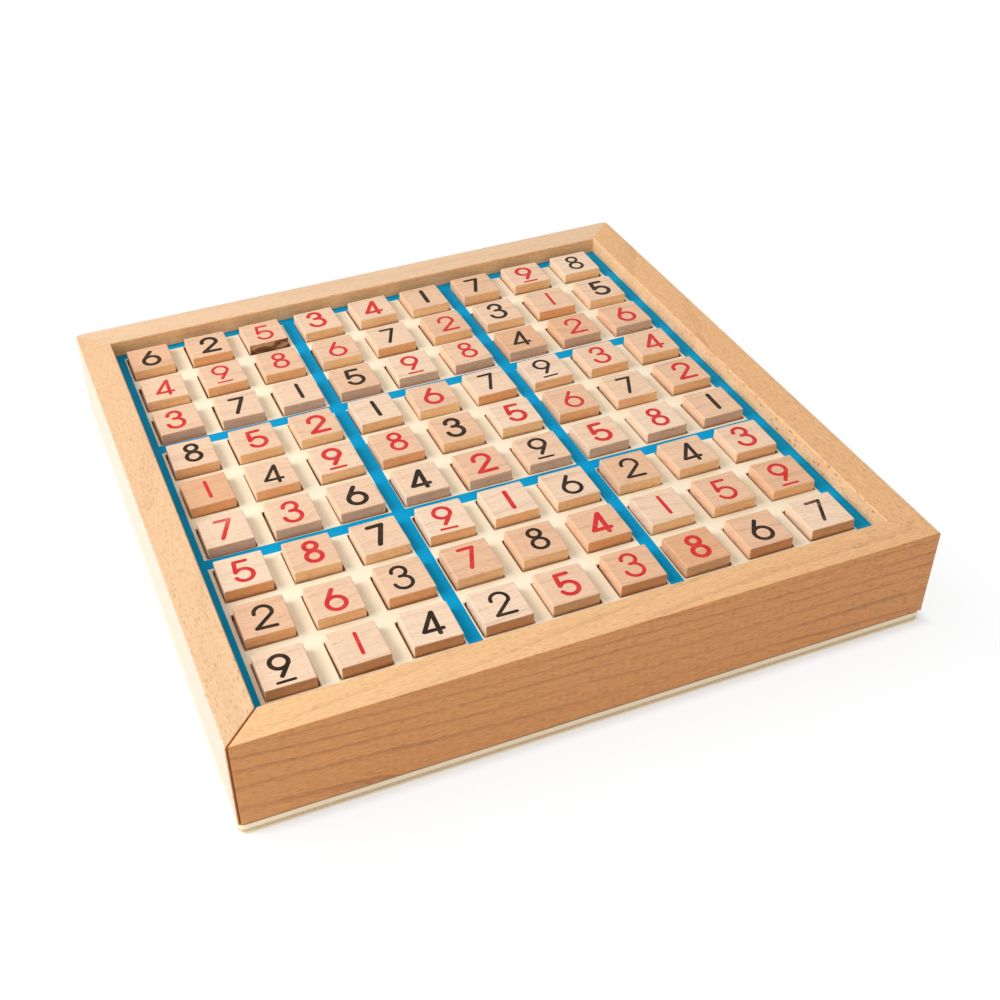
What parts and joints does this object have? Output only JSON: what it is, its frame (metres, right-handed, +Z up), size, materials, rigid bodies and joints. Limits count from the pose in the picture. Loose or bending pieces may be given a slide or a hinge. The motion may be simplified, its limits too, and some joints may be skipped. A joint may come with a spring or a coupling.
{
  "type": "sudoku board",
  "caption": "Square beech sudoku board on a plywood base: loose number tiles lie in the pockets of a sunk playing board, over a storage drawer whose front is one side of the frame.",
  "frame": {"origin": "middle of the base panel's underside, on the surface that the board lies on", "axes": "+X to the right along the drawer front, +Y from the drawer front to the back rail, +Z up"},
  "size_m": [0.3, 0.3, 0.048],
  "materials": {
    "beech": "satin lacquer",
    "tile_beech": "bare, sanded",
    "plywood": "bare, sanded",
    "painted_plywood": "matt, printed with blue lines",
    "steel": "zinc plated"
  },
  "bodies": {
    "frame": {"left_rail": "beech", "right_rail": "beech", "back_rail": "beech", "base_panel": "plywood", "base_screws": "steel", "backing_sheet": "plywood", "grid_sheet": "painted_plywood"},
    "drawer": {"drawer_front": "beech", "tray_front": "plywood", "tray_left": "plywood", "tray_right": "plywood", "tray_back": "plywood", "tray_floor": "plywood", "front_screws": "steel"},
    "tiles_1_left": {"tiles_1_left": "tile_beech"},
    "tiles_1_middle": {"tiles_1_middle": "tile_beech"},
    "tiles_1_right": {"tiles_1_right": "tile_beech"},
    "tiles_2_left": {"tiles_2_left": "tile_beech"},
    "tiles_2_middle": {"tiles_2_middle": "tile_beech"},
    "tiles_2_right": {"tiles_2_right": "tile_beech"},
    "tiles_3_left": {"tiles_3_left": "tile_beech"},
    "tiles_3_middle": {"tiles_3_middle": "tile_beech"},
    "tiles_3_right": {"tiles_3_right": "tile_beech"},
    "tiles_4_left": {"tiles_4_left": "tile_beech"},
    "tiles_4_middle": {"tiles_4_middle": "tile_beech"},
    "tiles_4_right": {"tiles_4_right": "tile_beech"},
    "tiles_5_left": {"tiles_5_left": "tile_beech"},
    "tiles_5_middle": {"tiles_5_middle": "tile_beech"},
    "tiles_5_right": {"tiles_5_right": "tile_beech"},
    "tiles_6_left": {"tiles_6_left": "tile_beech"},
    "tiles_6_middle": {"tiles_6_middle": "tile_beech"},
    "tiles_6_right": {"tiles_6_right": "tile_beech"},
    "tiles_7_left": {"tiles_7_left": "tile_beech"},
    "tiles_7_middle": {"tiles_7_middle": "tile_beech"},
    "tiles_7_right": {"tiles_7_right": "tile_beech"},
    "tiles_8_left": {"tiles_8_left": "tile_beech"},
    "tiles_8_middle": {"tiles_8_middle": "tile_beech"},
    "tiles_8_right": {"tiles_8_right": "tile_beech"},
    "tiles_9_left": {"tiles_9_left": "tile_beech"},
    "tiles_9_middle": {"tiles_9_middle": "tile_beech"},
    "tiles_9_right": {"tiles_9_right": "tile_beech"}
  },
  "joints": [
    {"name": "drawer_slide", "type": "slide", "parent": "frame", "child": "drawer", "axis": [0, -1, 0], "range_m": [0, 0.2]},
    {"name": "lift_1_left", "type": "slide", "parent": "frame", "child": "tiles_1_left", "axis": [0, 0, 1], "range_m": [0, 0.03]},
    {"name": "lift_1_middle", "type": "slide", "parent": "frame", "child": "tiles_1_middle", "axis": [0, 0, 1], "range_m": [0, 0.03]},
    {"name": "lift_1_right", "type": "slide", "parent": "frame", "child": "tiles_1_right", "axis": [0, 0, 1], "range_m": [0, 0.03]},
    {"name": "lift_2_left", "type": "slide", "parent": "frame", "child": "tiles_2_left", "axis": [0, 0, 1], "range_m": [0, 0.03]},
    {"name": "lift_2_middle", "type": "slide", "parent": "frame", "child": "tiles_2_middle", "axis": [0, 0, 1], "range_m": [0, 0.03]},
    {"name": "lift_2_right", "type": "slide", "parent": "frame", "child": "tiles_2_right", "axis": [0, 0, 1], "range_m": [0, 0.03]},
    {"name": "lift_3_left", "type": "slide", "parent": "frame", "child": "tiles_3_left", "axis": [0, 0, 1], "range_m": [0, 0.03]},
    {"name": "lift_3_middle", "type": "slide", "parent": "frame", "child": "tiles_3_middle", "axis": [0, 0, 1], "range_m": [0, 0.03]},
    {"name": "lift_3_right", "type": "slide", "parent": "frame", "child": "tiles_3_right", "axis": [0, 0, 1], "range_m": [0, 0.03]},
    {"name": "lift_4_left", "type": "slide", "parent": "frame", "child": "tiles_4_left", "axis": [0, 0, 1], "range_m": [0, 0.03]},
    {"name": "lift_4_middle", "type": "slide", "parent": "frame", "child": "tiles_4_middle", "axis": [0, 0, 1], "range_m": [0, 0.03]},
    {"name": "lift_4_right", "type": "slide", "parent": "frame", "child": "tiles_4_right", "axis": [0, 0, 1], "range_m": [0, 0.03]},
    {"name": "lift_5_left", "type": "slide", "parent": "frame", "child": "tiles_5_left", "axis": [0, 0, 1], "range_m": [0, 0.03]},
    {"name": "lift_5_middle", "type": "slide", "parent": "frame", "child": "tiles_5_middle", "axis": [0, 0, 1], "range_m": [0, 0.03]},
    {"name": "lift_5_right", "type": "slide", "parent": "frame", "child": "tiles_5_right", "axis": [0, 0, 1], "range_m": [0, 0.03]},
    {"name": "lift_6_left", "type": "slide", "parent": "frame", "child": "tiles_6_left", "axis": [0, 0, 1], "range_m": [0, 0.03]},
    {"name": "lift_6_middle", "type": "slide", "parent": "frame", "child": "tiles_6_middle", "axis": [0, 0, 1], "range_m": [0, 0.03]},
    {"name": "lift_6_right", "type": "slide", "parent": "frame", "child": "tiles_6_right", "axis": [0, 0, 1], "range_m": [0, 0.03]},
    {"name": "lift_7_left", "type": "slide", "parent": "frame", "child": "tiles_7_left", "axis": [0, 0, 1], "range_m": [0, 0.03]},
    {"name": "lift_7_middle", "type": "slide", "parent": "frame", "child": "tiles_7_middle", "axis": [0, 0, 1], "range_m": [0, 0.03]},
    {"name": "lift_7_right", "type": "slide", "parent": "frame", "child": "tiles_7_right", "axis": [0, 0, 1], "range_m": [0, 0.03]},
    {"name": "lift_8_left", "type": "slide", "parent": "frame", "child": "tiles_8_left", "axis": [0, 0, 1], "range_m": [0, 0.03]},
    {"name": "lift_8_middle", "type": "slide", "parent": "frame", "child": "tiles_8_middle", "axis": [0, 0, 1], "range_m": [0, 0.03]},
    {"name": "lift_8_right", "type": "slide", "parent": "frame", "child": "tiles_8_right", "axis": [0, 0, 1], "range_m": [0, 0.03]},
    {"name": "lift_9_left", "type": "slide", "parent": "frame", "child": "tiles_9_left", "axis": [0, 0, 1], "range_m": [0, 0.03]},
    {"name": "lift_9_middle", "type": "slide", "parent": "frame", "child": "tiles_9_middle", "axis": [0, 0, 1], "range_m": [0, 0.03]},
    {"name": "lift_9_right", "type": "slide", "parent": "frame", "child": "tiles_9_right", "axis": [0, 0, 1], "range_m": [0, 0.03]}
  ]
}
